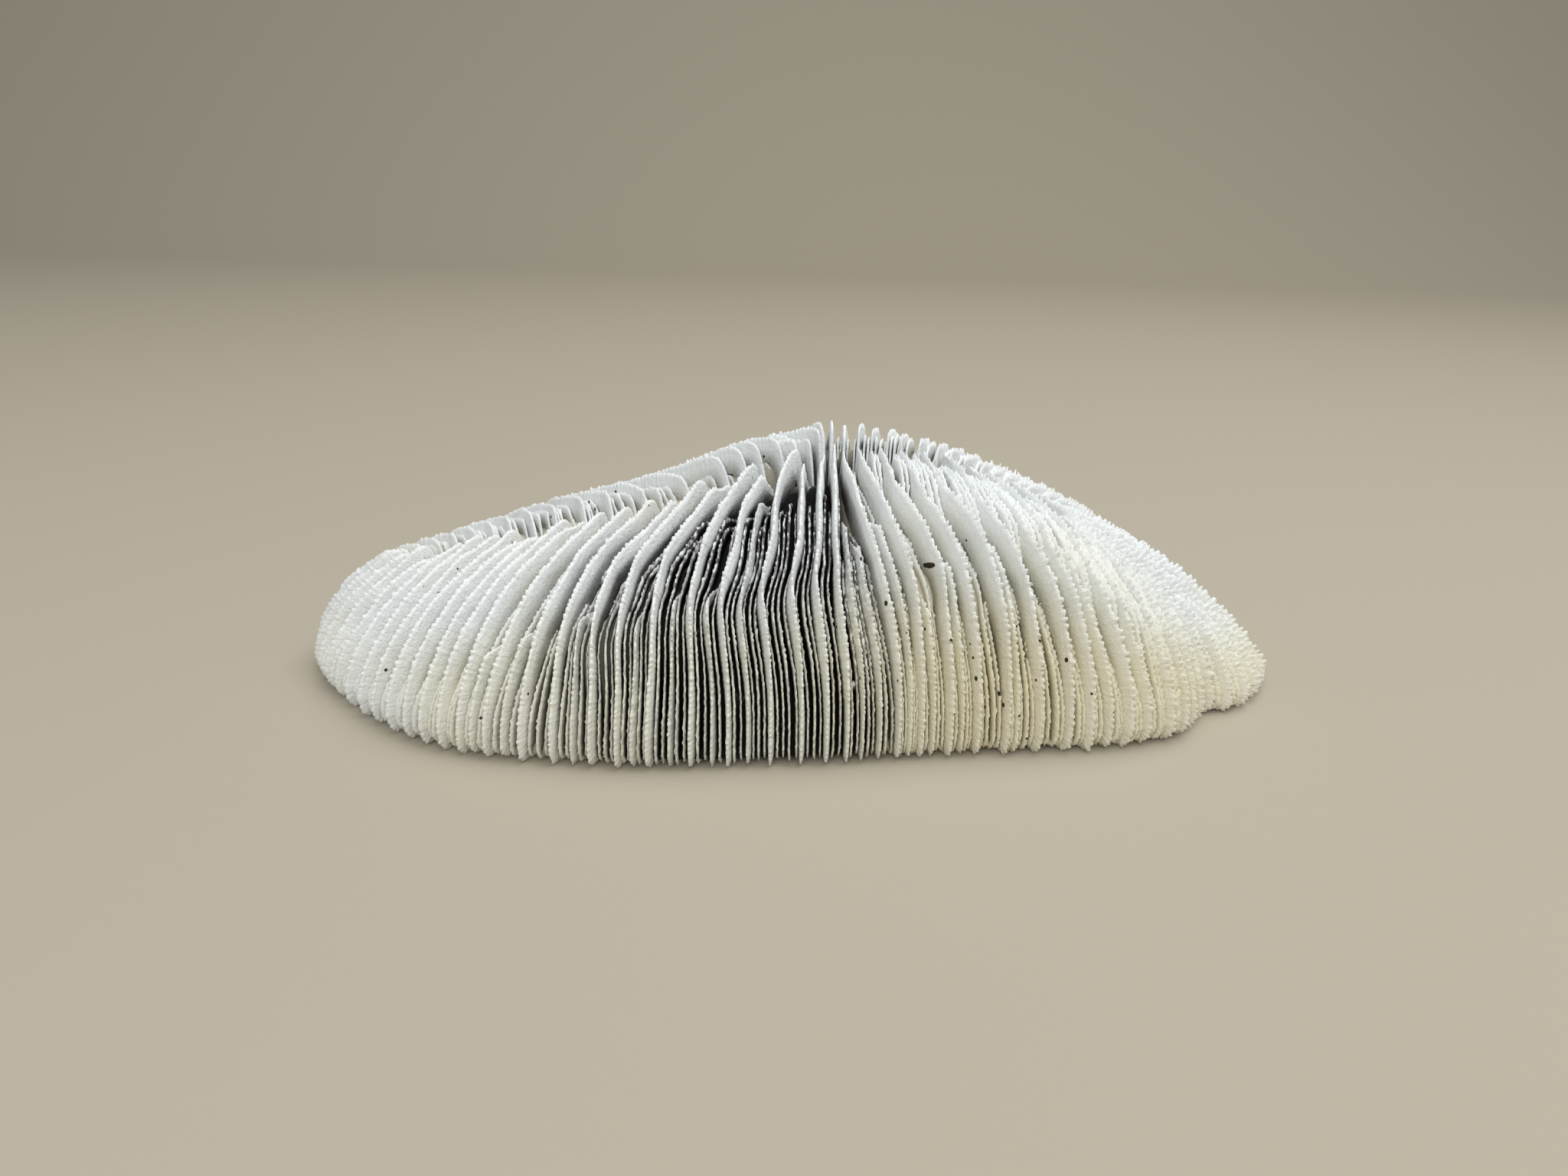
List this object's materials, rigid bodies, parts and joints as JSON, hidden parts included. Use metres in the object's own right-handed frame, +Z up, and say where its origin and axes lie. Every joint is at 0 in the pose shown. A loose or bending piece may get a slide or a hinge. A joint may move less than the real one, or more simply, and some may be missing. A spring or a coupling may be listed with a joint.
{
  "type": "mushroom coral",
  "caption": "Bleached stony skeleton of an elongate, arched mushroom coral, with toothed plates fanning from a crest furrow down to the rim.",
  "frame": {"origin": "on the resting plane, under the middle of the bounding box", "axes": "+X along the length, towards the steeper end with the notch; -Y is the front seen in the picture; +Z up"},
  "size_m": [0.195, 0.088, 0.0492],
  "materials": {
    "coral": "matt, finely grained bleached aragonite"
  },
  "bodies": {
    "root": {"mushroom_coral": "coral"}
  },
  "joints": []
}
